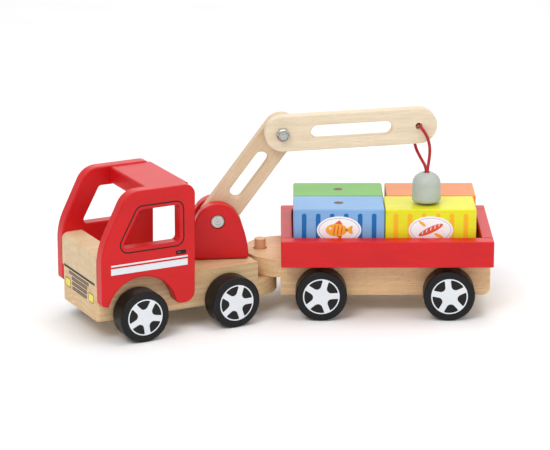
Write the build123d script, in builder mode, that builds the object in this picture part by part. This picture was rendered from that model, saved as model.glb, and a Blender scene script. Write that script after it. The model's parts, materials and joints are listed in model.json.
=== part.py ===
"""Toy crane truck: a wooden cab truck with a folding magnet crane, pulling a trailer of loading blocks.

Units are millimetres and +Z is up. X runs along the trailer from the hitch to its tail, and the truck
stands turned about the hitch peg, with its front towards -X. The origin is on the floor, under the
middle of the whole toy's box. Each piece is drawn in the frame of the group it belongs to, and the
group's place then puts it in the shared frame.
"""

import os
from math import cos, radians, sin, tan

from build123d import *

# Where the groups stand
hitch_x = -11.73
hitch_y = 28.58
truck_yaw = 27.0
turret_x = -38.2
turret_turn = -21.3

# Chassis beams, the same section on truck and trailer
chassis_width = 66.0
chassis_bottom = 15.5
chassis_top = 44.5
lap_split = 30.0
lap_gap = 0.4
corner_round = 3.0
edge_round = 1.2
truck_front = -154.6
truck_shoulder = -18.4
trailer_shoulder = 16.2
nose_inset = 3.9
trailer_tail = 179.7
tail_round = 6.5

# Wheels and axles
wheel_radius = 20.0
wheel_width = 16.4
wheel_round = 1.6
wheel_inner = 33.9
wheel_bore_depth = 10.0
axle_radius = 2.5
running_gap = 0.05
truck_axles = {"front": -122.3, "rear": -45.3}
trailer_axles = {"front": 47.6, "rear": 146.8}

# Hitch
peg_radius = 4.5
peg_top = 52.5
peg_seat = 18.0
peg_hole_radius = 5.4

# Cab
bonnet_length = 17.6
bonnet_top = 69.2
panel_thickness = 10.4
panel_rear_top = -76.2
panel_rear_low = -77.4
panel_top = 117.6
panel_low_front = 29.8
panel_low_rear = 24.3
panel_slope_bottom = 73.5
panel_slope_top = -132.5
arch_radius = 28.5
arch_centre = (-121.5, 21.5)
window_sill = 70.5
window_head = 105.7
window_rear = -86.4
window_low_front = -143.4
window_high_front = -124.1
window_round = 6.5
window_inset = 3.2
roof_front = -113.0
roof_rear = -77.6
roof_bottom = 103.4
roof_top = 116.6

# Turret
washer_radius = 15.0
washer_thickness = 0.5
turret_bottom = 45.15
cheek_thickness = 10.6
arm_slot = 10.2
cheek_half_length = 23.9
pivot_z = 75.2
cheek_crown = 14.2
core_half_length = 20.0
core_top = 60.3
post_radius = 4.0
post_bottom = 24.6
screw_radius = 1.5
screw_head_radius = 3.2
screw_head_height = 3.0
pin_radius = 3.0
pin_head_radius = 5.3
pin_head_thickness = 2.0
pin_head_recess = 2.7

# Crane arms
arm_thickness = 9.4
arm_height = 27.0
jib_height = 28.0
lower_arm_length = 85.2
lower_arm_angle = 53.52
lower_slot = (26.0, 58.8)
lower_slot_height = 10.2
jib_angle = 2.11
jib_length = 106.0
jib_slot = (27.4, 79.7)
jib_slot_height = 11.0
cord_hole_at = 105.7
cord_hole_radius = 2.7
elbow_washer_thickness = 1.2
elbow_washer_radius = 8.0
bolt_head_across = 9.6
bolt_head_height = 4.6
nut_across = 10.0
nut_height = 4.0

# Lifting magnet and its cord; the magnet hangs off the line of the cord hole by magnet_offset
magnet_offset = (6.0, -8.4)
magnet_bottom = 88.55
magnet_radius = 11.3
magnet_height = 23.1
magnet_rim_round = 2.5
disc_radius = 8.0
disc_thickness = 3.5
knot_radius = 3.9
knot_length = 6.0
knot_top_below_crown = 6.0
cord_diameter = 2.4

# Trailer tray and blocks; block_slip is how far each block has slid towards the tail
tray_front = 16.5
tray_length = 164.0
tray_width = 103.4
tray_top = 64.5
side_wall = 12.0
side_wall_bottom = 43.6
end_wall = 9.0
tray_floor_thickness = 4.8
block_length = 70.35
block_depth = 38.4
block_height = 37.5
block_gap = 0.5
block_first_gap = 0.6
block_slip = {"blue": 0.0, "green": 0.4, "yellow": 0.0, "orange": 2.3}
block_round = 1.3
coin_radius = 3.8
coin_thickness = 2.0

# Places of the groups
truck_place = Location((hitch_x, hitch_y, 0), (0, 0, truck_yaw))
trailer_place = Location((hitch_x, hitch_y, 0))
turret_place = truck_place * Location((turret_x, 0, 0), (0, 0, turret_turn))

os.makedirs("parts", exist_ok=True)
pieces = []


def finish(piece, name, place):
    """Put a finished piece in the shared frame, label it and write its file."""
    placed = piece.moved(place)
    placed.label = name
    export_step(placed, f"parts/{name}.step")
    pieces.append(placed)


def facing_front(y):
    """Plane for a profile drawn in X and Z at this Y; it extrudes towards -Y."""
    return Plane(origin=(0, y, 0), x_dir=(1, 0, 0), z_dir=(0, -1, 0))


# ---------------------------------------------------------------- truck chassis, bonnet and hitch peg
half_width = chassis_width / 2
axle_z = wheel_radius

with BuildPart() as truck_chassis:
    with BuildSketch(Plane.XY.offset(chassis_bottom)) as truck_outline:
        with Locations(((truck_front + truck_shoulder) / 2, 0)):
            Rectangle(truck_shoulder - truck_front, chassis_width)
    extrude(amount=chassis_top - chassis_bottom)
    fillet(truck_chassis.edges().filter_by(Axis.Z).group_by(Axis.X)[0], corner_round)
    fillet(truck_chassis.faces().sort_by(Axis.Z)[0].edges(), edge_round)
    with BuildSketch(Plane.XY.offset(chassis_bottom)):
        with Locations((truck_shoulder - nose_inset, 0)):
            Circle(half_width)
        with Locations((truck_shoulder - half_width, 0)):
            Rectangle(chassis_width, chassis_width, mode=Mode.SUBTRACT)
    extrude(amount=lap_split - lap_gap / 2 - chassis_bottom)
    for x in truck_axles.values():
        with BuildSketch(facing_front(half_width)):
            with Locations((x, axle_z)):
                Circle(axle_radius + running_gap)
        extrude(amount=chassis_width, mode=Mode.SUBTRACT)
    with BuildSketch(Plane.XY.offset(peg_seat)):
        Circle(peg_radius)
    extrude(amount=chassis_top, mode=Mode.SUBTRACT)
    with BuildSketch(Plane.XY.offset(post_bottom - 0.3)):
        with Locations((turret_x, 0)):
            Circle(post_radius + running_gap)
    extrude(amount=chassis_top, mode=Mode.SUBTRACT)
    with BuildSketch(Plane.XY.offset(chassis_bottom)):
        with Locations((turret_x, 0)):
            Circle(screw_radius + 0.2)
    extrude(amount=post_bottom - chassis_bottom, mode=Mode.SUBTRACT)
    with BuildSketch(Plane.XY.offset(chassis_bottom)):
        with Locations((turret_x, 0)):
            Circle(screw_head_radius + 0.3)
    extrude(amount=screw_head_height + 1.2, mode=Mode.SUBTRACT)
finish(truck_chassis.part, "truck_chassis", truck_place)

with BuildPart() as bonnet_block:
    with BuildSketch(Plane.XY.offset(chassis_top)):
        with Locations((truck_front + bonnet_length / 2, 0)):
            Rectangle(bonnet_length, chassis_width)
    extrude(amount=bonnet_top - chassis_top)
    top_edges = bonnet_block.faces().sort_by(Axis.Z)[-1].edges().filter_by(Axis.Y)
    fillet(top_edges.sort_by(Axis.X)[0], 5.0)
    fillet(bonnet_block.edges().filter_by(Axis.Y).group_by(Axis.Z)[-1].sort_by(Axis.X)[-1], edge_round)
finish(bonnet_block.part, "bonnet_block", truck_place)

with BuildPart() as hitch_peg:
    with BuildSketch(Plane.XY.offset(peg_seat)):
        Circle(peg_radius)
    extrude(amount=peg_top - peg_seat)
    fillet(hitch_peg.edges().group_by(Axis.Z)[-1], 0.8)
finish(hitch_peg.part, "hitch_peg", truck_place)

# ---------------------------------------------------------------- cab sides and roof
for side, inner_y in (("left", -half_width), ("right", half_width + panel_thickness)):
    with BuildPart() as cab_side:
        with BuildSketch(facing_front(inner_y)) as side_outline:
            with BuildLine():
                FilletPolyline(
                    (truck_front, panel_low_front), (truck_front, panel_slope_bottom),
                    (panel_slope_top, panel_top), (panel_rear_top, panel_top), (panel_rear_low, panel_low_rear),
                    (arch_centre[0], panel_low_rear), (arch_centre[0], panel_low_front),
                    radius=(3.5, 50.0, 17.0, 8.5, 8.5, 1.0, 1.0), close=True,
                )
            make_face()
            with Locations(arch_centre):
                Circle(arch_radius, mode=Mode.SUBTRACT)
            arch_foot = (arch_centre[0] - arch_radius, panel_low_front)
            arch_lobe = (arch_centre[0] + arch_radius, panel_low_rear)
            fillet(side_outline.vertices().sort_by_distance(arch_foot)[0], 2.5)
            fillet(side_outline.vertices().sort_by_distance(arch_lobe)[0], 5.5)
            with BuildLine(mode=Mode.PRIVATE) as glazing:
                FilletPolyline(
                    (window_low_front, window_sill), (window_high_front, window_head),
                    (window_rear, window_head), (window_rear, window_sill),
                    radius=window_round, close=True,
                )
            opening = offset(make_face(glazing.edges(), mode=Mode.PRIVATE), -window_inset, mode=Mode.PRIVATE)
            add(opening, mode=Mode.SUBTRACT)
        extrude(amount=panel_thickness)
        fillet(cab_side.faces().filter_by(Axis.Y).edges(), edge_round)
    finish(cab_side.part, f"cab_side_{side}", truck_place)

with BuildPart() as cab_roof:
    with BuildSketch(Plane.XY.offset(roof_bottom)):
        with Locations(((roof_front + roof_rear) / 2, 0)):
            Rectangle(roof_rear - roof_front, chassis_width)
    extrude(amount=roof_top - roof_bottom)
    fillet(cab_roof.edges().filter_by(Axis.Y), 1.8)
finish(cab_roof.part, "cab_roof", truck_place)

# ---------------------------------------------------------------- wheels and axles
for vehicle, axles, place in (("truck", truck_axles, truck_place), ("trailer", trailer_axles, trailer_place)):
    for end, x in axles.items():
        with BuildPart() as axle:
            with BuildSketch(facing_front(wheel_inner + wheel_bore_depth)):
                with Locations((x, axle_z)):
                    Circle(axle_radius)
            extrude(amount=2 * (wheel_inner + wheel_bore_depth))
        finish(axle.part, f"{vehicle}_{end}_axle", place)
        for side, sign in (("left", -1), ("right", 1)):
            hub_plane = Plane(origin=(x, sign * wheel_inner, axle_z), x_dir=(1, 0, 0), z_dir=(0, sign, 0))
            with BuildPart() as wheel:
                with BuildSketch(hub_plane):
                    Circle(wheel_radius)
                extrude(amount=wheel_width)
                fillet(wheel.edges().filter_by(GeomType.CIRCLE), wheel_round)
                with BuildSketch(hub_plane):
                    Circle(axle_radius)
                extrude(amount=wheel_bore_depth, mode=Mode.SUBTRACT)
            finish(wheel.part, f"{vehicle}_{end}_wheel_{side}", place)

# ---------------------------------------------------------------- turret
with BuildPart() as turret_washer:
    with BuildSketch(Plane.XY.offset(chassis_top)):
        Circle(washer_radius)
        Circle(post_radius + 0.4, mode=Mode.SUBTRACT)
    extrude(amount=washer_thickness)
finish(turret_washer.part, "turret_washer", turret_place)

for side, outer_y in (("left", -arm_slot / 2), ("right", arm_slot / 2 + cheek_thickness)):
    sign = -1 if side == "left" else 1
    with BuildPart() as cheek:
        with BuildSketch(facing_front(outer_y)) as cheek_outline:
            with BuildLine():
                foot_right = (cheek_half_length, turret_bottom)
                foot_left = (-cheek_half_length, turret_bottom)
                brow_right = (15.6, pivot_z + 4.9)
                brow_left = (-15.6, pivot_z + 4.9)
                ThreePointArc(foot_right, (21.2, pivot_z - 10), brow_right)
                ThreePointArc(brow_right, (0, pivot_z + cheek_crown), brow_left)
                ThreePointArc(brow_left, (-21.2, pivot_z - 10), foot_left)
                Line(foot_left, foot_right)
            make_face()
            fillet(cheek_outline.vertices(), 2.0)
        extrude(amount=cheek_thickness)
        fillet(cheek.faces().filter_by(Axis.Y).edges(), edge_round)
        outside = Plane(
            origin=(0, sign * (arm_slot / 2 + cheek_thickness), pivot_z), x_dir=(1, 0, 0), z_dir=(0, sign, 0)
        )
        with BuildSketch(outside):
            Circle(pin_head_radius + 0.35)
        extrude(amount=-pin_head_recess, mode=Mode.SUBTRACT)
        with BuildSketch(outside):
            Circle(pin_radius)
        extrude(amount=-cheek_thickness, mode=Mode.SUBTRACT)
    finish(cheek.part, f"turret_cheek_{side}", turret_place)

with BuildPart() as turret_core:
    with BuildSketch(Plane.XY.offset(turret_bottom)):
        Rectangle(2 * core_half_length, arm_slot)
        Circle(post_radius, mode=Mode.SUBTRACT)
    extrude(amount=core_top - turret_bottom)
finish(turret_core.part, "turret_core", turret_place)

with BuildPart() as turret_post:
    with BuildSketch(Plane.XY.offset(post_bottom)):
        Circle(post_radius)
    extrude(amount=core_top - post_bottom)
    with BuildSketch(Plane.XY.offset(post_bottom)):
        Circle(screw_radius)
    extrude(amount=14.0, mode=Mode.SUBTRACT)
finish(turret_post.part, "turret_post", turret_place)

screw_head_bottom = chassis_bottom + 0.6
with BuildPart() as turret_screw:
    with BuildSketch(Plane.XY.offset(screw_head_bottom)):
        Circle(screw_head_radius)
    extrude(amount=screw_head_height)
    fillet(turret_screw.edges().group_by(Axis.Z)[0], 1.0)
    with BuildSketch(Plane.XY.offset(screw_head_bottom)):
        Circle(screw_radius)
    extrude(amount=post_bottom + 13.5 - screw_head_bottom)
    with BuildSketch(Plane.XY.offset(screw_head_bottom)):
        Rectangle(3.6, 0.9)
        Rectangle(0.9, 3.6)
    extrude(amount=1.2, mode=Mode.SUBTRACT)
finish(turret_screw.part, "turret_screw", turret_place)

pin_seat = arm_slot / 2 + cheek_thickness - pin_head_recess
with BuildPart() as boom_pin:
    with BuildSketch(facing_front(pin_seat)):
        with Locations((0, pivot_z)):
            Circle(pin_radius)
    extrude(amount=2 * pin_seat)
    with BuildSketch(facing_front(-pin_seat)):
        with Locations((0, pivot_z)):
            Circle(pin_head_radius)
    extrude(amount=pin_head_thickness)
    fillet(boom_pin.faces().sort_by(Axis.Y)[0].edges(), 0.6)
finish(boom_pin.part, "boom_pin", turret_place)

with BuildPart() as boom_pin_cap:
    with BuildSketch(facing_front(pin_seat + pin_head_thickness)):
        with Locations((0, pivot_z)):
            Circle(pin_head_radius)
    extrude(amount=pin_head_thickness)
    fillet(boom_pin_cap.faces().sort_by(Axis.Y)[-1].edges(), 0.6)
finish(boom_pin_cap.part, "boom_pin_cap", turret_place)

# ---------------------------------------------------------------- crane arms
elbow_x = lower_arm_length * cos(radians(lower_arm_angle))
elbow_z = pivot_z + lower_arm_length * sin(radians(lower_arm_angle))
jib_back_y = -arm_thickness / 2 - elbow_washer_thickness
jib_front_y = jib_back_y - arm_thickness
jib_middle_y = jib_back_y - arm_thickness / 2


def along(angle, x, y, z):
    """Plane on an arm's face: x runs along the arm at this angle above level, and it extrudes towards -Y."""
    return Plane(origin=(x, y, z), x_dir=(cos(radians(angle)), 0, sin(radians(angle))), z_dir=(0, -1, 0))


with BuildPart() as lower_arm:
    with BuildSketch(along(lower_arm_angle, 0, arm_thickness / 2, pivot_z)):
        with Locations((lower_arm_length / 2, 0)):
            SlotCenterToCenter(lower_arm_length, arm_height)
        with Locations((sum(lower_slot) / 2, 0)):
            SlotCenterToCenter(lower_slot[1] - lower_slot[0], lower_slot_height, mode=Mode.SUBTRACT)
        with Locations((0, 0), (lower_arm_length, 0)):
            Circle(pin_radius + running_gap, mode=Mode.SUBTRACT)
    extrude(amount=arm_thickness)
    rims = lower_arm.faces().filter_by(Axis.Y).edges()
    fillet(rims.filter_by(lambda e: e.length > 4 * pin_radius * 2), 1.0)
finish(lower_arm.part, "lower_arm", turret_place)

with BuildPart() as jib:
    with BuildSketch(along(jib_angle, elbow_x, jib_back_y, elbow_z)):
        with Locations((jib_length / 2, 0)):
            SlotCenterToCenter(jib_length, jib_height)
        with Locations((sum(jib_slot) / 2, 0)):
            SlotCenterToCenter(jib_slot[1] - jib_slot[0], jib_slot_height, mode=Mode.SUBTRACT)
        Circle(pin_radius, mode=Mode.SUBTRACT)
        with Locations((cord_hole_at, 0)):
            Circle(cord_hole_radius, mode=Mode.SUBTRACT)
    extrude(amount=arm_thickness)
    rims = jib.faces().filter_by(Axis.Y).edges()
    fillet(rims.filter_by(lambda e: e.length > 4 * pin_radius * 2), 1.0)
finish(jib.part, "jib", turret_place)

with BuildPart() as elbow_washer:
    with BuildSketch(along(jib_angle, elbow_x, -arm_thickness / 2, elbow_z)):
        Circle(elbow_washer_radius)
        Circle(pin_radius, mode=Mode.SUBTRACT)
    extrude(amount=elbow_washer_thickness - 0.3)
finish(elbow_washer.part.moved(Location((0, -0.3, 0))), "elbow_washer", turret_place)

nut_back_y = arm_thickness / 2 + 0.3
with BuildPart() as elbow_bolt:
    with BuildSketch(along(jib_angle, elbow_x, jib_front_y, elbow_z)):
        RegularPolygon(bolt_head_across / 2, 6, major_radius=False)
    extrude(amount=bolt_head_height)
    with BuildSketch(along(jib_angle, elbow_x, jib_front_y - bolt_head_height / 2, elbow_z)):
        Circle(bolt_head_across / 2 + 0.2)
    extrude(amount=bolt_head_height / 2, mode=Mode.INTERSECT)
    with BuildSketch(along(jib_angle, elbow_x, jib_front_y, elbow_z)):
        RegularPolygon(bolt_head_across / 2, 6, major_radius=False)
    extrude(amount=bolt_head_height / 2)
    with BuildSketch(along(jib_angle, elbow_x, nut_back_y + nut_height + 1.5, elbow_z)):
        Circle(pin_radius)
    extrude(amount=nut_back_y + nut_height + 1.5 - jib_front_y)
    chamfer(elbow_bolt.faces().sort_by(Axis.Y)[0].edges(), 0.9)
finish(elbow_bolt.part, "elbow_bolt", turret_place)

with BuildPart() as elbow_nut:
    with BuildSketch(along(jib_angle, elbow_x, nut_back_y + nut_height, elbow_z)):
        RegularPolygon(nut_across / 2, 6, major_radius=False)
        Circle(pin_radius, mode=Mode.SUBTRACT)
    extrude(amount=nut_height)
finish(elbow_nut.part, "elbow_nut", turret_place)

# ---------------------------------------------------------------- lifting magnet
hole_x = elbow_x + cord_hole_at * cos(radians(jib_angle))
hole_z = elbow_z + cord_hole_at * sin(radians(jib_angle))
magnet_x = hole_x + magnet_offset[0]
magnet_y = jib_middle_y + magnet_offset[1]
crown_z = magnet_bottom + magnet_height
knot_top = crown_z - knot_top_below_crown
magnet_place = turret_place * Location((magnet_x, magnet_y, magnet_bottom))

with BuildPart() as magnet_housing:
    with BuildSketch(Plane.XZ):
        with BuildLine():
            Line((0, 0), (magnet_radius - magnet_rim_round, 0))
            rim = (magnet_radius, magnet_rim_round)
            JernArc((magnet_radius - magnet_rim_round, 0), (1, 0), magnet_rim_round, 90)
            waist = (magnet_radius - 0.4, 13.0)
            Line(rim, waist)
            ThreePointArc(waist, (8.4, 20.4), (0, magnet_height))
            Line((0, magnet_height), (0, 0))
        make_face()
    revolve(axis=Axis.Z)
    with BuildSketch(Plane.XY):
        Circle(disc_radius)
    extrude(amount=disc_thickness, mode=Mode.SUBTRACT)
    with BuildSketch(Plane.XY.offset(disc_thickness)):
        Circle(knot_radius + 0.5)
    extrude(amount=magnet_height - knot_top_below_crown + 0.5 - disc_thickness, mode=Mode.SUBTRACT)
    with BuildSketch(Plane.XY.offset(disc_thickness)):
        Circle(cord_diameter + 0.35)
    extrude(amount=magnet_height, mode=Mode.SUBTRACT)
finish(magnet_housing.part, "magnet_housing", magnet_place)

with BuildPart() as magnet_disc:
    with BuildSketch(Plane.XY):
        Circle(disc_radius)
    extrude(amount=disc_thickness)
finish(magnet_disc.part, "magnet_disc", magnet_place)

with BuildPart() as cord_knot:
    with BuildSketch(Plane.XY.offset(knot_top - magnet_bottom - knot_length)):
        Circle(knot_radius)
    extrude(amount=knot_length)
    fillet(cord_knot.edges(), 1.2)
finish(cord_knot.part, "cord_knot", magnet_place)

# The cord's route, from the knot up the near strand, through the jib's hole and down the far strand.
# Points are measured from the middle of the hole: along the jib's way out, across it, and up.
cord_route = [
    (6.3, -9.65, -42.5),
    (6.3, -9.65, -33.6),
    (7.8, -9.4, -24.5),
    (8.3, -8.4, -16.0),
    (6.2, -7.8, -7.6),
    (0.9, -7.6, 0.3),
    (0.5, 7.4, 0.3),
    (-2.0, 7.6, -9.4),
    (-1.0, 7.0, -19.5),
    (2.6, 1.5, -27.0),
    (6.3, -7.15, -33.4),
    (6.3, -7.15, -42.5),
]
cord_start = hole_z + cord_route[0][2]
cord_points = [Vector(hole_x + x, jib_middle_y + y, hole_z + z - (cord_start - knot_top if z < -42 else 0))
               for x, y, z in cord_route]
corner_radii = []
for before, corner, after in zip(cord_points, cord_points[1:], cord_points[2:]):
    arriving = corner - before
    leaving = after - corner
    shorter = min(arriving.length, leaving.length)
    corner_radii.append(0.45 * shorter / tan(radians(arriving.get_angle(leaving) / 2)))

with BuildPart() as magnet_cord:
    with BuildLine() as cord_line:
        FilletPolyline(*cord_points, radius=corner_radii)
    with BuildSketch(Plane(origin=cord_points[0], z_dir=cord_points[1] - cord_points[0])):
        Circle(cord_diameter / 2)
    sweep(path=cord_line.wires()[0])
finish(magnet_cord.part, "magnet_cord", turret_place)
cord_length = sum(edge.length for edge in cord_line.edges())
section_volume = 3.14159265 * (cord_diameter / 2) ** 2 * cord_length
print("cord length", round(cord_length, 1), "volume", round(magnet_cord.part.volume, 1))
print("cord volume expected", round(section_volume, 1))
print("cord radii", [round(r, 1) for r in corner_radii])

# ---------------------------------------------------------------- trailer chassis
with BuildPart() as trailer_chassis:
    with BuildSketch(Plane.XY.offset(chassis_bottom)):
        with Locations(((trailer_shoulder + trailer_tail) / 2, 0)):
            Rectangle(trailer_tail - trailer_shoulder, chassis_width)
    extrude(amount=chassis_top - chassis_bottom)
    fillet(trailer_chassis.edges().filter_by(Axis.Y).group_by(Axis.Z)[0].sort_by(Axis.X)[-1], tail_round)
    fillet(trailer_chassis.edges().filter_by(Axis.X).group_by(Axis.Z)[0], edge_round)
    with BuildSketch(Plane.XY.offset(lap_split + lap_gap / 2)):
        with Locations((trailer_shoulder + nose_inset, 0)):
            Circle(half_width)
        with Locations((trailer_shoulder + half_width, 0)):
            Rectangle(chassis_width, chassis_width, mode=Mode.SUBTRACT)
    extrude(amount=chassis_top - lap_split - lap_gap / 2)
    with BuildSketch(Plane.XY.offset(chassis_bottom)):
        Circle(peg_hole_radius)
    extrude(amount=chassis_top, mode=Mode.SUBTRACT)
    for x in trailer_axles.values():
        with BuildSketch(facing_front(half_width)):
            with Locations((x, axle_z)):
                Circle(axle_radius + running_gap)
        extrude(amount=chassis_width, mode=Mode.SUBTRACT)
finish(trailer_chassis.part, "trailer_chassis", trailer_place)

# ---------------------------------------------------------------- tray
tray_middle = tray_front + tray_length / 2
inner_width = tray_width - 2 * side_wall
for side, sign in (("left", -1), ("right", 1)):
    with BuildPart() as wall:
        with BuildSketch(Plane.XY.offset(side_wall_bottom)):
            with Locations((tray_middle, sign * (tray_width - side_wall) / 2)):
                Rectangle(tray_length, side_wall)
        extrude(amount=tray_top - side_wall_bottom)
        fillet(wall.edges(), edge_round)
    finish(wall.part, f"tray_side_{side}", trailer_place)

for end, x in (("front", tray_front + end_wall / 2), ("rear", tray_front + tray_length - end_wall / 2)):
    with BuildPart() as wall:
        with BuildSketch(Plane.XY.offset(chassis_top)):
            with Locations((x, 0)):
                Rectangle(end_wall, inner_width)
        extrude(amount=tray_top - chassis_top)
        fillet(wall.edges().filter_by(Axis.Y).group_by(Axis.Z)[-1], edge_round)
    finish(wall.part, f"tray_end_{end}", trailer_place)

with BuildPart() as tray_floor:
    with BuildSketch(Plane.XY.offset(chassis_top)):
        with Locations((tray_middle, 0)):
            Rectangle(tray_length - 2 * end_wall, inner_width)
    extrude(amount=tray_floor_thickness)
finish(tray_floor.part, "tray_floor", trailer_place)

# ---------------------------------------------------------------- loading blocks
block_bottom = chassis_top + tray_floor_thickness
block_row_y = (block_depth + block_gap) / 2
block_column_x = tray_front + end_wall + block_first_gap + block_length / 2
block_places = {
    "blue": (block_column_x, -block_row_y),
    "green": (block_column_x, block_row_y),
    "yellow": (block_column_x + block_length + block_gap, -block_row_y),
    "orange": (block_column_x + block_length + block_gap, block_row_y),
}
for colour, (x, y) in block_places.items():
    block_place = trailer_place * Location((x + block_slip[colour], y, block_bottom))
    with BuildPart() as block:
        with BuildSketch(Plane.XY):
            Rectangle(block_length, block_depth)
        extrude(amount=block_height)
        fillet(block.edges(), block_round)
        with BuildSketch(Plane.XY.offset(block_height)):
            Circle(coin_radius)
        extrude(amount=-coin_thickness, mode=Mode.SUBTRACT)
    finish(block.part, f"block_{colour}", block_place)
    with BuildPart() as coin:
        with BuildSketch(Plane.XY.offset(block_height - coin_thickness)):
            Circle(coin_radius)
        extrude(amount=coin_thickness)
    finish(coin.part, f"steel_disc_{colour}", block_place)

whole = Compound(children=pieces).bounding_box()
print("pieces", len(pieces), "box", whole.min, whole.max)
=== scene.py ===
"""Looks of the toy crane truck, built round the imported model. Lengths are written in mm and scaled once."""

import json
from math import atan2, cos, pi, radians, sin, tan

import bmesh
import bpy
from mathutils import Matrix, Vector


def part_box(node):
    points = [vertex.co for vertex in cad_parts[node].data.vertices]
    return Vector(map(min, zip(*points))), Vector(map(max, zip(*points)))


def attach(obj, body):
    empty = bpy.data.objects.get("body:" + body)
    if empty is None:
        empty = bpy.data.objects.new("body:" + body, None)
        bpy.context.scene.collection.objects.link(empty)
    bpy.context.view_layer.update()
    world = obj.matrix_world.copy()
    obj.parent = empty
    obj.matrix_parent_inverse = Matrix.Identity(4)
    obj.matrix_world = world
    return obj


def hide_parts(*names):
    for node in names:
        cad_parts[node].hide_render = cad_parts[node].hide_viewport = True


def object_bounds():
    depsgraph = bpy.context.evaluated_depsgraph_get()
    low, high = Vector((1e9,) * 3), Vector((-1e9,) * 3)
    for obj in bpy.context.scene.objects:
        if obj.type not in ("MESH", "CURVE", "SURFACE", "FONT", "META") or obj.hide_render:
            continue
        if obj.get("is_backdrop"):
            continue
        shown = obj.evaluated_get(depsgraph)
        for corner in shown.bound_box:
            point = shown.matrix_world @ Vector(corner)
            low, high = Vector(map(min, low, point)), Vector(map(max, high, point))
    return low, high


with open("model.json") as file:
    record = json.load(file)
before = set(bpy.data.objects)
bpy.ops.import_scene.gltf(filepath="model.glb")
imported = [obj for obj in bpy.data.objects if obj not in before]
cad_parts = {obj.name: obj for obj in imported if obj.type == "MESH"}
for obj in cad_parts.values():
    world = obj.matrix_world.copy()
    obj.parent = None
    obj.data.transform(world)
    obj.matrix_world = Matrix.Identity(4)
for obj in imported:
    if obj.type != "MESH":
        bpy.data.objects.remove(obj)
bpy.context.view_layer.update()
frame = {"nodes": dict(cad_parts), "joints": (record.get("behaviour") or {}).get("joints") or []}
scene = bpy.context.scene
scene.view_settings.view_transform = "Standard"
scene.view_settings.look = "None"
MM = 0.001
nodes = frame["nodes"]
joints = {joint["name"]: joint for joint in frame["joints"]}

# ---------------------------------------------------------------- groups' own frames
TRUCK_YAW = 27.0
TURRET_YAW = 5.7
JIB_ANGLE = 2.11
LOWER_ARM_ANGLE = 53.52


def joint_point(name):
    return Vector(joints[name]["pos_m"])


def upright_frame(point, yaw):
    return Matrix.Translation((point.x, point.y, 0)) @ Matrix.Rotation(radians(yaw), 4, "Z")


hitch = joint_point("hitch_swivel")
trailer_frame = upright_frame(hitch, 0)
truck_frame = upright_frame(hitch, TRUCK_YAW)
turret_frame = upright_frame(joint_point("turret_swivel"), TURRET_YAW)


def facing(base, x, y, z, along, normal):
    """Local frame at a point of base, in mm: x runs along, z is the normal. Its own lengths are mm too."""
    along = Vector(along)
    normal = Vector(normal)
    up = normal.cross(along)
    turn = Matrix((along, up, normal)).transposed().to_4x4()
    return base @ Matrix.Translation(Vector((x, y, z)) * MM) @ turn @ Matrix.Scale(MM, 4)


# ---------------------------------------------------------------- camera
LENS = 171.13
SENSOR_WIDTH = 36.0
NEAREST_SEEN = 0.05
FARTHEST_SEEN = 100.0
CAMERA_FROM_HITCH = Vector((8.03, -1973.17, 649.44))
CAMERA_PITCH = 16.553
CAMERA_YAW = 0.111
camera_data = bpy.data.cameras.new("camera")
camera = bpy.data.objects.new("camera", camera_data)
scene.collection.objects.link(camera)
camera_data.lens = LENS
camera_data.sensor_width = SENSOR_WIDTH
camera_data.clip_start = NEAREST_SEEN
camera_data.clip_end = FARTHEST_SEEN
pitch = radians(CAMERA_PITCH)
yaw = radians(CAMERA_YAW)
look = Vector((sin(yaw) * cos(pitch), cos(yaw) * cos(pitch), -sin(pitch)))
side = Vector((cos(yaw), -sin(yaw), 0))
rise = side.cross(look)
camera_turn = Matrix((side, rise, -look)).transposed().to_4x4()
camera_place = Vector((hitch.x, hitch.y, 0)) + CAMERA_FROM_HITCH * MM
camera.matrix_world = Matrix.Translation(camera_place) @ camera_turn
scene.camera = camera

# ---------------------------------------------------------------- cord of the magnet
CORD_DIAMETER = 2.4
SWING_PIVOT_OUT = 2.3
swing_pivot = joint_point("magnet_swing")
cord_route = [
    (6.3, -9.65, -41.95),
    (6.3, -9.65, -33.6),
    (7.8, -9.4, -24.5),
    (8.3, -8.4, -16.0),
    (6.2, -7.8, -7.6),
    (0.9, -7.6, 0.3),
    (0.5, 7.4, 0.3),
    (-2.0, 7.6, -9.4),
    (-1.0, 7.0, -19.5),
    (2.6, 1.5, -27.0),
    (6.3, -7.15, -33.4),
    (6.3, -7.15, -41.95),
]
cord_frame = upright_frame(swing_pivot, TURRET_YAW)
cord_points = []
for x, y, z in cord_route:
    from_pivot = Vector((x - SWING_PIVOT_OUT, y, z)) * MM
    cord_points.append(cord_frame @ (from_pivot + Vector((0, 0, swing_pivot.z))))
curve = bpy.data.curves.new("magnet_cord_line", "CURVE")
curve.dimensions = "3D"
curve.resolution_u = 12
# The points carry the cord's radius and the bevel is 1, because a curve's box grows by its points' radius.
curve.bevel_depth = 1.0
curve.bevel_resolution = 6
curve.use_fill_caps = True
spline = curve.splines.new("NURBS")
spline.points.add(len(cord_points) - 1)
for point, place in zip(spline.points, cord_points):
    point.co = (*place, 1.0)
    point.radius = CORD_DIAMETER / 2 * MM
spline.order_u = 3
spline.use_endpoint_u = True
cord = bpy.data.objects.new("red_cord", curve)
scene.collection.objects.link(cord)
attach(cord, "cord")
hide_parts("magnet_cord")


# ---------------------------------------------------------------- materials
def linear(red, green, blue):
    """Linear colour of a display colour given in 0 to 255."""
    return tuple(
        c / 12.92 / 255 if c <= 10.3 else ((c / 255 + 0.055) / 1.055) ** 2.4 for c in (red, green, blue)
    ) + (1.0,)


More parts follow.
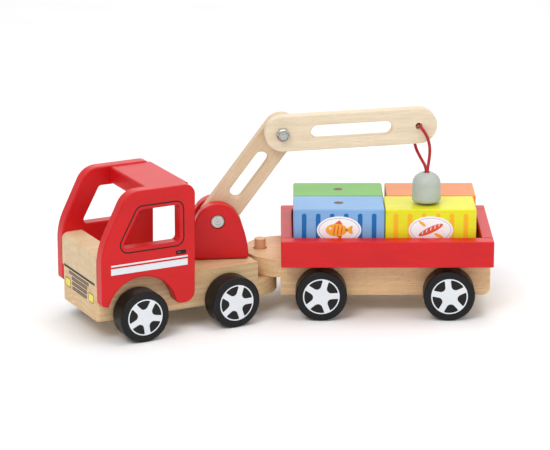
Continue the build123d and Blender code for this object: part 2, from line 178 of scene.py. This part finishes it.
class Nodes:
    """A material being wired: each call makes one node and gives back its output."""

    def __init__(self, name, roughness=0.5):
        self.material = bpy.data.materials.new(name)
        self.material.use_nodes = True
        self.tree = self.material.node_tree
        self.shader = self.tree.nodes["Principled BSDF"]
        self.shader.inputs["Roughness"].default_value = roughness

    def add(self, kind, output=0, inputs=(), **settings):
        node = self.tree.nodes.new(kind)
        for key, value in settings.items():
            setattr(node, key, value)
        for key, value in dict(inputs).items():
            self.wire(value, node.inputs[key])
        return node.outputs[output]

    def wire(self, value, socket):
        if isinstance(value, bpy.types.NodeSocket):
            self.tree.links.new(value, socket)
        else:
            socket.default_value = value

    def object_space(self, turn=(0, 0, 0), stretch=(1, 1, 1), shift=(0, 0, 0)):
        """Coordinates in mm fixed to the piece, turned so that local x follows the grain, then stretched."""
        coordinate = self.add("ShaderNodeTexCoord", "Object")
        rotation = [radians(a) for a in turn]
        in_mm = (1000, 1000, 1000)
        turned = self.add(
            "ShaderNodeMapping",
            inputs={"Vector": coordinate, "Rotation": rotation, "Scale": in_mm},
        )
        return self.add("ShaderNodeMapping", inputs={"Vector": turned, "Location": shift, "Scale": stretch})

    def noise(self, vector, scale=1.0, detail=2.0, distortion=0.0):
        return self.add(
            "ShaderNodeTexNoise",
            "Fac",
            inputs={"Vector": vector, "Scale": scale, "Detail": detail, "Distortion": distortion},
        )

    def ramp(self, value, *stops):
        output = self.add("ShaderNodeValToRGB", "Color", inputs={"Fac": value})
        ramp = output.node.color_ramp
        while len(ramp.elements) < len(stops):
            ramp.elements.new(0.5)
        for element, (position, colour) in zip(ramp.elements, stops):
            element.position = position
            element.color = colour if len(colour) == 4 else (*colour, 1)
        return output

    def mix(self, factor, first, second, blend="MIX"):
        output = self.add("ShaderNodeMix", 2, data_type="RGBA", blend_type=blend)
        for index, value in ((0, factor), (6, first), (7, second)):
            self.wire(value, output.node.inputs[index])
        return output

    def math(self, operation, first, second=0.0):
        return self.add("ShaderNodeMath", inputs={0: first, 1: second}, operation=operation)

    def level(self, value, low, high):
        return self.add("ShaderNodeMapRange", inputs={"Value": value, "To Min": low, "To Max": high})

    def bump(self, height, strength, distance):
        normal = self.add(
            "ShaderNodeBump", inputs={"Height": height, "Strength": strength, "Distance": distance * MM}
        )
        self.wire(normal, self.shader.inputs["Normal"])


PAINT_SHEEN = 0.3


def shade(value):
    return (value, value, value, 1)


def wood(name, pale, dark, turn, shift=(0, 0, 0), ring=0.34, fleck=0.35, roughness=0.5):
    """Bare sanded beech: growth rings round an axis along the grain, streaks, and short dark flecks."""
    m = Nodes(name, roughness)
    long = m.object_space(turn, (0.010, 0.16, 0.16), shift)
    warp = m.noise(long, 1.0, 3.0)
    rings = m.add(
        "ShaderNodeTexWave",
        "Fac",
        wave_type="RINGS",
        rings_direction="X",
        inputs={
            "Vector": m.object_space(turn, (0.02, 1, 1), (0, -31 + shift[1], 38 + shift[2])),
            "Scale": 0.05 * ring / 0.34,
            "Distortion": 3.2,
            "Detail": 2.5,
            "Detail Scale": 0.6,
        },
    )
    fibre = m.noise(m.object_space(turn, (0.05, 1.6, 1.6), shift), 1.0, 4.0)
    pores = m.noise(m.object_space(turn, (0.28, 2.6, 2.6), shift), 1.0, 2.0)
    base = m.mix(m.level(warp, -0.2, 1.15), linear(*pale), linear(*dark))
    base = m.mix(m.math("MULTIPLY", rings, ring), base, linear(*dark))
    streak = m.ramp(fibre, (0.30, shade(0.86)), (0.62, shade(1.05)))
    base = m.mix(0.8, base, streak, "MULTIPLY")
    pits = m.ramp(pores, (0.60, shade(1.0)), (0.72, shade(1.0 - fleck)))
    base = m.mix(0.85, base, pits, "MULTIPLY")
    m.wire(base, m.shader.inputs["Base Color"])
    m.wire(m.level(fibre, roughness - 0.08, roughness + 0.12), m.shader.inputs["Roughness"])
    m.bump(m.math("ADD", fibre, m.math("MULTIPLY", pores, -0.6)), 0.22, 0.10)
    return m.material


def paint(name, colour, roughness=0.38, turn=(0, 0, 0), grain=0.10, coat=0.05):
    """Brushed toy lacquer over wood: even colour, faint grain below it, slightly uneven gloss."""
    m = Nodes(name, roughness)
    cloud = m.noise(m.object_space(turn, (0.03, 0.05, 0.05)), 1.0, 3.0)
    fibre = m.noise(m.object_space(turn, (0.05, 1.1, 1.1)), 1.0, 4.0)
    tint = m.ramp(cloud, (0.30, shade(0.93)), (0.70, shade(1.04)))
    base = m.mix(1.0, linear(*colour), tint, "MULTIPLY")
    threads = m.ramp(fibre, (0.30, shade(1 - grain)), (0.65, shade(1.0)))
    base = m.mix(0.7, base, threads, "MULTIPLY")
    m.wire(base, m.shader.inputs["Base Color"])
    m.wire(m.level(fibre, roughness - 0.06, roughness + 0.08), m.shader.inputs["Roughness"])
    m.shader.inputs["Specular IOR Level"].default_value = PAINT_SHEEN
    m.shader.inputs["Coat Weight"].default_value = coat
    m.shader.inputs["Coat Roughness"].default_value = 0.22
    m.bump(m.math("ADD", fibre, m.math("MULTIPLY", cloud, 0.5)), 0.16, 0.06)
    return m.material


def ink(name, colour, roughness=0.45):
    """Screen-printed ink with slightly uneven cover."""
    m = Nodes(name, roughness)
    speck = m.noise(m.object_space(stretch=(1.3, 1.3, 1.3)), 1.0, 3.0)
    cover = m.ramp(speck, (0.32, shade(0.93)), (0.6, shade(1.0)))
    m.wire(m.mix(1.0, linear(*colour), cover, "MULTIPLY"), m.shader.inputs["Base Color"])
    m.shader.inputs["Specular IOR Level"].default_value = PAINT_SHEEN
    m.bump(speck, 0.10, 0.03)
    return m.material


def metal(name, colour, roughness, scratch=(0.6, 0.6, 0.6), dirt=0.15):
    """Plated or turned steel with fine marks and duller patches."""
    m = Nodes(name, roughness)
    m.shader.inputs["Metallic"].default_value = 1.0
    marks = m.noise(m.object_space(stretch=scratch), 3.0, 5.0)
    patch = m.noise(m.object_space(stretch=(0.3, 0.3, 0.3)), 1.0, 3.0)
    tone = m.ramp(patch, (0.35, shade(1 - dirt)), (0.65, shade(1.0)))
    m.wire(m.mix(1.0, linear(*colour), tone, "MULTIPLY"), m.shader.inputs["Base Color"])
    m.wire(m.level(marks, roughness - 0.1, roughness + 0.15), m.shader.inputs["Roughness"])
    m.bump(marks, 0.15, 0.03)
    return m.material


def moulded(name, colour, roughness, depth=0.04):
    """Moulded plastic: fine texture, slight mottling, a soft coat of gloss."""
    m = Nodes(name, roughness)
    fine = m.noise(m.object_space(stretch=(2.2, 2.2, 2.2)), 1.0, 3.0)
    mottle = m.noise(m.object_space(stretch=(0.12, 0.12, 0.12)), 1.0, 3.0)
    tone = m.ramp(mottle, (0.3, shade(0.94)), (0.7, shade(1.03)))
    m.wire(m.mix(1.0, linear(*colour), tone, "MULTIPLY"), m.shader.inputs["Base Color"])
    m.wire(m.level(mottle, roughness - 0.05, roughness + 0.08), m.shader.inputs["Roughness"])
    m.shader.inputs["Subsurface Weight"].default_value = 0.12
    m.shader.inputs["Subsurface Scale"].default_value = 0.002
    m.bump(fine, 0.12, depth)
    return m.material


def braid(name, colour):
    """Round braided cord: strands cross along its length."""
    m = Nodes(name, 0.75)
    uv = m.add("ShaderNodeTexCoord", "UV")
    warp = m.add("ShaderNodeMapping", inputs={"Vector": uv, "Scale": (90.0, 6.0, 1.0)})
    weave = m.add("ShaderNodeTexChecker", "Fac", inputs={"Vector": warp, "Scale": 1.0})
    fuzz = m.noise(m.object_space(stretch=(3, 3, 3)), 1.0, 3.0)
    cover = m.math("MULTIPLY", m.level(weave, 0.82, 1.0), m.level(fuzz, 0.8, 1.1))
    m.wire(m.mix(1.0, linear(*colour), cover, "MULTIPLY"), m.shader.inputs["Base Color"])
    m.shader.inputs["Sheen Weight"].default_value = 0.25
    m.bump(m.math("ADD", weave, fuzz), 0.5, 0.12)
    return m.material


ACROSS = (0, 0, 90)
UPRIGHT = (0, 90, 0)
ALONG_TRUCK = (0, 0, -TRUCK_YAW)
ALONG_JIB = (0, JIB_ANGLE, -TURRET_YAW)
ALONG_LOWER_ARM = (0, LOWER_ARM_ANGLE, -TURRET_YAW)
LACQUER_RED = (208, 14, 20)
wood_truck = wood("wood_truck", (234, 208, 166), (208, 170, 120), ALONG_TRUCK, (0, 3, 5), 0.5, 0.45)
wood_bonnet = wood("wood_bonnet", (228, 206, 170), (208, 177, 134), ALONG_TRUCK, (0, 11, -9), 0.3)
wood_trailer = wood("wood_trailer", (244, 210, 162), (222, 180, 130), (0, 0, 0), (5, 7, 2), 0.45, 0.5)
wood_jib = wood("wood_jib", (236, 221, 195), (221, 200, 168), ALONG_JIB, (3, 17, 4), 0.25, 0.2)
wood_arm = wood("wood_arm", (226, 204, 172), (208, 178, 142), ALONG_LOWER_ARM, (9, -5, 6), 0.25, 0.2)
wood_peg = wood("wood_peg", (244, 206, 168), (226, 178, 138), UPRIGHT, (2, 4, 6))
wood_rod = wood("wood_rod", (226, 196, 156), (204, 168, 124), ACROSS, (1, 2, 3))
red = paint("red_lacquer", LACQUER_RED)
red_tray = paint("red_lacquer_tray", (210, 20, 26))
red_turned = paint("red_lacquer_turned", LACQUER_RED, turn=ALONG_TRUCK)
black = paint("black_lacquer", (12, 11, 12), 0.42, turn=ACROSS, grain=0.2, coat=0.0)
block_paints = {
    "blue": paint("blue_lacquer", (130, 176, 225)),
    "green": paint("green_lacquer", (116, 186, 78)),
    "yellow": paint("yellow_lacquer", (232, 228, 30)),
    "orange": paint("orange_lacquer", (236, 140, 74)),
}
rib_inks = {
    "blue": ink("blue_ink", (10, 104, 176)),
    "green": ink("green_ink", (44, 136, 46)),
    "yellow": ink("yellow_ink", (244, 186, 30)),
    "orange": ink("orange_ink", (216, 84, 30)),
}
white_ink = ink("white_ink", (226, 232, 236))
emblem_white = ink("emblem_white", (246, 249, 252))
black_ink = ink("black_ink", (14, 11, 12))
# Grey ink for the grille bars; the same ink also paints the highlight strip on the door handles.
grey_ink_and_painted_glint = ink("grey_ink_and_painted_glint", (128, 112, 100))
lamp_ink = ink("lamp_ink", (240, 226, 84))
line_ink = ink("line_ink", (150, 160, 190))
fish_ink = ink("fish_ink", (246, 176, 52))
loaf_ink = ink("loaf_ink", (226, 92, 52))
leaf_ink = ink("leaf_ink", (70, 160, 70))
zinc = metal("zinc_plate", (205, 205, 200), 0.32)
disc_steel = metal("disc_steel", (132, 112, 96), 0.5, dirt=0.3)
washer_steel = metal("washer_steel", (120, 118, 116), 0.45)
dark_steel = metal("dark_steel", (96, 88, 82), 0.5)
dome_grey = moulded("dome_grey", (180, 187, 178), 0.4)
cord_red = braid("cord_red", (186, 16, 30))
cord.data.materials.append(cord_red)

node_materials = {
    "truck_chassis": wood_truck,
    "bonnet_block": wood_bonnet,
    "hitch_peg": wood_peg,
    "cab_side_left": red_turned,
    "cab_side_right": red_turned,
    "cab_roof": red_turned,
    "turret_cheek_left": red,
    "turret_cheek_right": red,
    "turret_core": red,
    "turret_post": wood_rod,
    "turret_washer": washer_steel,
    "turret_screw": zinc,
    "boom_pin": zinc,
    "boom_pin_cap": zinc,
    "lower_arm": wood_arm,
    "jib": wood_jib,
    "elbow_washer": zinc,
    "elbow_bolt": zinc,
    "elbow_nut": zinc,
    "magnet_housing": dome_grey,
    "magnet_disc": washer_steel,
    "cord_knot": cord_red,
    "magnet_cord": cord_red,
    "trailer_chassis": wood_trailer,
    "tray_floor": red_tray,
    "tray_side_left": red_tray,
    "tray_side_right": red_tray,
    "tray_end_front": red_tray,
    "tray_end_rear": red_tray,
}
for vehicle in ("truck", "trailer"):
    for end in ("front", "rear"):
        node_materials[f"{vehicle}_{end}_axle"] = wood_rod
        for hand in ("left", "right"):
            node_materials[f"{vehicle}_{end}_wheel_{hand}"] = black
for colour, coat in block_paints.items():
    node_materials[f"block_{colour}"] = coat
    node_materials[f"steel_disc_{colour}"] = disc_steel


def smooth_by_area(thing, limit=50):
    """Shading normals weighted by face area, so flats stay flat beside their rounded edges."""
    mesh = thing.data
    threshold = cos(radians(limit))
    around = [[] for _ in mesh.vertices]
    for polygon in mesh.polygons:
        for vertex in polygon.vertices:
            around[vertex].append(polygon.index)
    weighted = [p.normal * p.area for p in mesh.polygons]
    normals = [None] * len(mesh.loops)
    for polygon in mesh.polygons:
        for loop in polygon.loop_indices:
            total = Vector()
            for other in around[mesh.loops[loop].vertex_index]:
                if mesh.polygons[other].normal.dot(polygon.normal) > threshold:
                    total += weighted[other]
            normals[loop] = total.normalized() if total.length > 0 else polygon.normal
    mesh.shade_smooth()
    mesh.normals_split_custom_set(normals)


for name, thing in nodes.items():
    thing.data.materials.clear()
    thing.data.materials.append(node_materials[name])
    smooth_by_area(thing)


# ---------------------------------------------------------------- flat prints
PRINT_PROUD = 0.06
PRINT_OVER_PRINT = 0.09
PRINT_SUNK = 0.25
STRAIGHT = 0.01


def rounded(points, radii, steps=7):
    """Outline of a closed polygon with an arc at each corner."""
    if not isinstance(radii, (list, tuple)):
        radii = [radii] * len(points)
    outline = []
    count = len(points)
    for i, radius in enumerate(radii):
        corner = Vector(points[i])
        back = (Vector(points[i - 1]) - corner).normalized()
        ahead = (Vector(points[(i + 1) % count]) - corner).normalized()
        half = back.angle(ahead) / 2
        if radius <= 0 or half > pi / 2 - STRAIGHT:
            outline.append(tuple(corner))
            continue
        centre = corner + (back + ahead).normalized() * radius / sin(half)
        start = corner + back * radius / tan(half) - centre
        finish = corner + ahead * radius / tan(half) - centre
        first = atan2(start.y, start.x)
        sweep = (atan2(finish.y, finish.x) - first + pi) % (2 * pi) - pi
        for k in range(steps + 1):
            angle = first + sweep * k / steps
            outline.append((centre.x + radius * cos(angle), centre.y + radius * sin(angle)))
    return outline


def box_outline(x0, y0, x1, y1, radius=0.0):
    return rounded([(x0, y0), (x1, y0), (x1, y1), (x0, y1)], radius)


def oval(cx, cy, rx, ry, tilt=0.0, steps=48):
    outline = []
    for k in range(steps):
        angle = 2 * pi * k / steps
        x, y = rx * cos(angle), ry * sin(angle)
        t = radians(tilt)
        outline.append((cx + x * cos(t) - y * sin(t), cy + x * sin(t) + y * cos(t)))
    return outline


def counter_clockwise(outline):
    area = sum(a[0] * b[1] - b[0] * a[1] for a, b in zip(outline, outline[1:] + outline[:1]))
    return outline if area > 0 else outline[::-1]


def stand(name, mesh, material, body):
    mesh.materials.append(material)
    piece = bpy.data.objects.new(name, mesh)
    scene.collection.objects.link(piece)
    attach(piece, body)
    return piece


def prints(name, outlines, place, material, body, proud=PRINT_PROUD):
    """Thin plates of ink with these outlines, in one piece: drawn in place's x and y, standing just proud."""
    made = bmesh.new()
    for outline in outlines:
        outline = counter_clockwise(outline)
        top = [made.verts.new(place @ Vector((x, y, proud))) for x, y in outline]
        low = [made.verts.new(place @ Vector((x, y, -PRINT_SUNK))) for x, y in outline]
        made.faces.new(top)
        made.faces.new(low[::-1])
        for i in range(len(outline)):
            j = (i + 1) % len(outline)
            made.faces.new((top[j], top[i], low[i], low[j]))
    bmesh.ops.triangulate(made, faces=made.faces)
    bmesh.ops.recalc_face_normals(made, faces=made.faces)
    mesh = bpy.data.meshes.new(name)
    made.to_mesh(mesh)
    made.free()
    return stand(name, mesh, material, body)


def line_print(name, outline, width, place, material, body, proud=PRINT_PROUD):
    """A printed line of this width along a closed outline."""
    count = len(outline)
    rails = ([], [])
    for i in range(count):
        before, here, after = (Vector(outline[k % count]) for k in (i - 1, i, i + 1))
        run = (here - before).normalized() + (after - here).normalized()
        across = Vector((-run.y, run.x)).normalized()
        for rail, reach in zip(rails, (-width / 2, width / 2)):
            rail.append(here + across * reach)
    made = bmesh.new()
    rows = []
    inner, outer = rails
    for rail, depth in ((inner, proud), (outer, proud), (outer, -PRINT_SUNK), (inner, -PRINT_SUNK)):
        rows.append([made.verts.new(place @ Vector((p.x, p.y, depth))) for p in rail])
    for a, b in zip(rows, rows[1:] + rows[:1]):
        for i in range(count):
            j = (i + 1) % count
            made.faces.new((a[i], a[j], b[j], b[i]))
    bmesh.ops.recalc_face_normals(made, faces=made.faces)
    mesh = bpy.data.meshes.new(name)
    made.to_mesh(mesh)
    made.free()
    return stand(name, mesh, material, body)


# ---------------------------------------------------------------- cab prints, the same on both sides
PANEL_OUTSIDE = 43.4
WINDOW_LINE_WIDTH = 1.0
WINDOW_LINE_ROUND = 6.5
window_outline = rounded([(-143.4, 70.5), (-124.1, 105.7), (-86.4, 105.7), (-86.4, 70.5)], WINDOW_LINE_ROUND)
thin_stripe = [(-146.8, 60.9), (-83.3, 60.9), (-83.3, 62.2), (-146.8, 62.2)]
thick_stripe = [(-146.9, 54.5), (-83.5, 54.5), (-83.5, 59.5), (-146.9, 59.5)]
handle = box_outline(-93.3, 63.6, -84.6, 66.8, 0.9)
# Painted highlight: a thin grey strip near the top of the black door handle stands in for a glint.
handle_shine = box_outline(-91.9, 65.0, -89.4, 65.5, 0.2)


def seen(outline, sign):
    """An outline in the truck's x and z, as it is drawn on this side of the cab."""
    return [(-sign * x, z) for x, z in outline]


for hand, sign in (("left", -1), ("right", 1)):
    place = facing(truck_frame, 0, sign * PANEL_OUTSIDE, 0, (-sign, 0, 0), (0, sign, 0))
    window = seen(window_outline, sign)
    line_print(f"window_line_{hand}", window, WINDOW_LINE_WIDTH, place, black_ink, "truck")
    stripes = [seen(thin_stripe, sign), seen(thick_stripe, sign)]
    prints(f"stripes_{hand}", stripes, place, white_ink, "truck")
    prints(f"door_handle_{hand}", [seen(handle, sign)], place, black_ink, "truck")
    # The grey strip printed over each handle is a painted highlight.
    shine = [seen(handle_shine, sign)]
    prints(f"handle_shine_{hand}", shine, place, grey_ink_and_painted_glint, "truck", PRINT_OVER_PRINT)

# ---------------------------------------------------------------- truck front: line, grille and lamps
FRONT = -154.6
EDGE_WIDTH = 0.6
BAR_ROUND = 0.5
BAR_INSIDE_ROUND = 0.3
LAMP_ROUND = 2.2
LAMP_INSIDE_ROUND = 1.7
bars = [
    (-20.0, 39.9, 18.0, 42.4),
    (-14.9, 36.2, 14.9, 38.9),
    (-14.4, 32.4, 14.4, 35.1),
    (-13.8, 28.6, 13.8, 31.3),
]
lamps = [(-27.4, 28.4, -17.2, 35.8), (17.2, 28.4, 27.4, 35.8)]


def inside(box, radius):
    """Outline of the area inside a box's printed edge."""
    x0, z0, x1, z1 = box
    return box_outline(x0 + EDGE_WIDTH, z0 + EDGE_WIDTH, x1 - EDGE_WIDTH, z1 - EDGE_WIDTH, radius)


place = facing(truck_frame, FRONT, 0, 0, (0, -1, 0), (-1, 0, 0))
prints("front_line", [box_outline(-29.6, 43.6, 29.6, 45.5)], place, black_ink, "truck")
bar_edges = [box_outline(*bar, BAR_ROUND) for bar in bars]
prints("grille_edges", bar_edges, place, black_ink, "truck")
inner_bars = [inside(bar, BAR_INSIDE_ROUND) for bar in bars]
prints("grille_bars", inner_bars, place, grey_ink_and_painted_glint, "truck", PRINT_OVER_PRINT)
lamp_edges = [box_outline(*lamp, LAMP_ROUND) for lamp in lamps]
prints("lamp_edges", lamp_edges, place, black_ink, "truck")
glasses = [inside(lamp, LAMP_INSIDE_ROUND) for lamp in lamps]
prints("lamps", glasses, place, lamp_ink, "truck", PRINT_OVER_PRINT)

# ---------------------------------------------------------------- wheel faces
WHEEL_FACE = 50.3
RIM_RADIUS = 14.2
RIM_LINE = 0.95
SPOKE_HALF = 2.35
SPOKES = 5
GAP_APEX_ROUND = 3.4
GAP_CORNER_ROUND = 0.6
RIM_STEPS = 6
RIM_PROUD = 0.02
GAP_PROUD = 0.05
spoke_turns = {
    ("truck", "front"): 61.0,
    ("truck", "rear"): 73.0,
    ("trailer", "front"): 75.0,
    ("trailer", "rear"): 97.0,
}


def gap_outline(middle):
    """Dark gap between two spokes: sides parallel to the spokes, outer edge on the rim line's inside."""
    outer = RIM_RADIUS - RIM_LINE
    half = pi / SPOKES
    apex = SPOKE_HALF / sin(half)
    reach = (outer**2 - SPOKE_HALF**2) ** 0.5
    left = Vector((reach * cos(half) + SPOKE_HALF * sin(half), reach * sin(half) - SPOKE_HALF * cos(half)))
    right = Vector((left.x, -left.y))
    spread = atan2(left.y, left.x)
    rim_turns = [-spread + 2 * spread * k / RIM_STEPS for k in range(1, RIM_STEPS)]
    rim = [(outer * cos(a), outer * sin(a)) for a in rim_turns]
    points = [(apex, 0), tuple(right), *rim, tuple(left)]
    radii = [GAP_APEX_ROUND, GAP_CORNER_ROUND] + [0] * len(rim) + [GAP_CORNER_ROUND]
    shape = rounded(points, radii)
    turned = Matrix.Rotation(middle, 2)
    return [tuple(turned @ Vector(p)) for p in shape]


for (vehicle, end), turn in spoke_turns.items():
    base = truck_frame if vehicle == "truck" else trailer_frame
    centre = base.inverted() @ joint_point(f"{vehicle}_{end}_axle_spin")
    body = f"{vehicle}_{end}_wheels"
    for hand, sign in (("left", -1), ("right", 1)):
        x, z = centre.x / MM, centre.z / MM
        place = facing(base, x, sign * WHEEL_FACE, z, (-sign, 0, 0), (0, sign, 0))
        rim = oval(0, 0, RIM_RADIUS, RIM_RADIUS, steps=72)
        prints(f"{body}_rim_{hand}", [rim], place, white_ink, body, RIM_PROUD)
        gaps = [gap_outline(radians(turn) + (k + 0.5) * 2 * pi / SPOKES) for k in range(SPOKES)]
        prints(f"{body}_gaps_{hand}", gaps, place, black_ink, body, GAP_PROUD)

# ---------------------------------------------------------------- blocks: ribs and emblems
RIB_SPACING = 10.8
RIB_WIDTH = 3.6
RIB_MARGIN = 3.2
RIB_ROUND = 1.7
RIBS = 6
EMBLEM_DROP = 16.4
EMBLEM_OVAL = (17.2, 10.9)
EMBLEM_LINE = (15.6, 9.4)
EMBLEM_LINE_WIDTH = 0.35
EMBLEM_LINE_PROUD = 0.11
LOAF_TILT = 26

# Each design gives its parts as a name, outlines, an ink and how far the ink stands proud.


def fish():
    body = oval(-2.0, 0, 8.4, 5.0)
    tail = rounded([(4.8, 0), (11.3, 4.9), (9.8, 0), (11.3, -4.9)], [0.4, 0.9, 0.6, 0.9])
    fins = [
        rounded([(-5.6, 3.4), (0.4, 8.2), (3.6, 2.8)], [0.6, 1.2, 0.6]),
        rounded([(-3.6, -4.0), (2.8, -3.6), (1.2, -7.2)], [0.6, 0.6, 1.0]),
    ]
    bars = [oval(x, 0, 0.5, 4.6 - 0.08 * (x + 2) ** 2, -8, 24) for x in (-3.6, -0.8, 2.0)]
    eye = oval(-6.8, 1.2, 1.0, 1.0, steps=20)
    return [
        ("fins", fins, loaf_ink, 0.11),
        ("body", [body, tail], fish_ink, 0.13),
        ("bars", bars, loaf_ink, 0.15),
        ("eye", [eye], white_ink, 0.16),
    ]


def loaf():
    crust = oval(0, 0, 10.4, 2.5, LOAF_TILT)
    slope = tan(radians(LOAF_TILT))
    cuts = [oval(x, x * slope + 0.9, 0.45, 1.5, -12, 20) for x in (-6.4, -3.2, 0.0, 3.2, 6.4)]
    grains = [oval(-6.6, 5.0, 3.4, 1.2, -40, 24), oval(6.4, -4.8, 4.2, 1.3, -28, 24)]
    return [
        ("crust", [crust], loaf_ink, 0.12),
        ("cuts", cuts, white_ink, 0.15),
        ("grains", grains, fish_ink, 0.12),
    ]


def leaf():
    turns = [2 * pi * k / 40 for k in range(40)]
    blade = [(9.0 * cos(t), 4.2 * sin(t) * (1 + 0.35 * cos(t))) for t in turns]
    vein = [box_outline(-8.0, -0.3, 8.0, 0.3, 0.2)]
    return [("blade", [blade], leaf_ink, 0.12), ("vein", vein, white_ink, 0.15)]


def sun():
    rays = []
    for k in range(8):
        turned = Matrix.Rotation(2 * pi * k / 8, 2)
        rays.append([tuple(turned @ Vector(p)) for p in ((5.0, -1.0), (8.0, 0.0), (5.0, 1.0))])
    return [("ball", [oval(0, 0, 4.2, 4.2)], fish_ink, 0.12), ("rays", rays, loaf_ink, 0.12)]


emblems = {"blue": fish, "yellow": loaf, "green": leaf, "orange": sun}
for colour, design in emblems.items():
    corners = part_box(f"block_{colour}")
    low, high = (trailer_frame.inverted() @ Vector(corner) / MM for corner in corners)
    middle = (low + high) / 2
    body = f"{colour}_block"
    for hand, sign, y in (("near", -1, low.y), ("far", 1, high.y)):
        place = facing(trailer_frame, middle.x, y, 0, (-sign, 0, 0), (0, sign, 0))
        bottom, top = low.z + RIB_MARGIN, high.z - RIB_MARGIN
        ribs = []
        for k in range(RIBS):
            x = (k - (RIBS - 1) / 2) * RIB_SPACING
            ribs.append(box_outline(x - RIB_WIDTH / 2, bottom, x + RIB_WIDTH / 2, top, RIB_ROUND))
        prints(f"ribs_{colour}_{hand}", ribs, place, rib_inks[colour], body)
        spot = place @ Matrix.Translation((0, high.z - EMBLEM_DROP, 0))
        patch = [oval(0, 0, *EMBLEM_OVAL)]
        prints(f"emblem_{colour}_{hand}", patch, spot, emblem_white, body, PRINT_OVER_PRINT)
        ring = oval(0, 0, *EMBLEM_LINE)
        line_name = f"emblem_line_{colour}_{hand}"
        line_print(line_name, ring, EMBLEM_LINE_WIDTH, spot, line_ink, body, EMBLEM_LINE_PROUD)
        for part, outlines, material, proud in design():
            prints(f"emblem_{part}_{colour}_{hand}", outlines, spot, material, body, proud)

# ---------------------------------------------------------------- marks on the bolt and pin heads
BOLT_FACE = 19.9
PIN_FACE = 15.0
MARK_PROUD = 0.04
HEX_RADIUS = 3.9
HEX_TURN = 12
HEX_LINE_WIDTH = 0.5
BOLT_RING_WIDTH = 0.3
PIN_RING_WIDTH = 0.22
elbow = turret_frame.inverted() @ joint_point("jib_pivot") / MM
pivot = turret_frame.inverted() @ joint_point("lower_arm_pivot") / MM
bolt_spot = facing(turret_frame, elbow.x, -BOLT_FACE, elbow.z, (1, 0, 0), (0, -1, 0))
hex_turns = [radians(60 * k + HEX_TURN) for k in range(6)]
hexagon = [(HEX_RADIUS * cos(a), HEX_RADIUS * sin(a)) for a in hex_turns]
line_print("bolt_hex_line", hexagon, HEX_LINE_WIDTH, bolt_spot, dark_steel, "jib", MARK_PROUD)
for size in (2.6, 1.3):
    ring = oval(0, 0, size, size, steps=36)
    name = f"bolt_ring_{size:.0f}"
    line_print(name, ring, BOLT_RING_WIDTH, bolt_spot, dark_steel, "jib", MARK_PROUD)
pin_spot = facing(turret_frame, pivot.x, -PIN_FACE, pivot.z, (1, 0, 0), (0, -1, 0))
for size in (4.3, 2.4, 0.8):
    ring = oval(0, 0, size, size, steps=48)
    name = f"pin_ring_{size:.0f}"
    line_print(name, ring, PIN_RING_WIDTH, pin_spot, dark_steel, "turret", MARK_PROUD)

# ---------------------------------------------------------------- floor and light
FLOOR_REACH = 12.0
WORLD_LIGHT = 0.6
LIGHT_TARGET = (0, 0, 0.06)
floor_mesh = bpy.data.meshes.new("floor")
floor_corners = [(FLOOR_REACH * x, FLOOR_REACH * y, 0) for x, y in ((-1, -1), (1, -1), (1, 1), (-1, 1))]
floor_mesh.from_pydata(floor_corners, [], [(0, 1, 2, 3)])
floor = bpy.data.objects.new("floor", floor_mesh)
scene.collection.objects.link(floor)
pale = Nodes("pale_floor", 0.9)
grain = pale.noise(pale.object_space(stretch=(0.01, 0.01, 0.01)), 1.0, 2.0)
pale.wire(pale.ramp(grain, (0.3, shade(0.93)), (0.7, shade(0.95))), pale.shader.inputs["Base Color"])
pale.shader.inputs["Specular IOR Level"].default_value = 0.1
floor_mesh.materials.append(pale.material)
floor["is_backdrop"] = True

world = bpy.data.worlds.new("studio")
world.use_nodes = True
world.node_tree.nodes["Background"].inputs["Color"].default_value = (1.0, 1.0, 1.0, 1.0)
world.node_tree.nodes["Background"].inputs["Strength"].default_value = WORLD_LIGHT
scene.world = world


def softbox(name, place, target, size, power):
    data = bpy.data.lights.new(name, "AREA")
    data.shape = "DISK"
    data.size = size
    data.energy = power
    lamp = bpy.data.objects.new(name, data)
    scene.collection.objects.link(lamp)
    lamp.location = place
    lamp.rotation_mode = "QUATERNION"
    lamp.rotation_quaternion = (Vector(target) - Vector(place)).to_track_quat("-Z", "Y")


softbox("key", (-0.7, -1.3, 1.7), LIGHT_TARGET, 1.1, 17)
softbox("top", (0.3, 0.2, 1.9), LIGHT_TARGET, 1.6, 13)
softbox("fill", (1.6, -1.0, 0.9), LIGHT_TARGET, 1.2, 5)
softbox("back", (0.0, 2.6, 1.0), LIGHT_TARGET, 2.6, 14)

low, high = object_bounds()
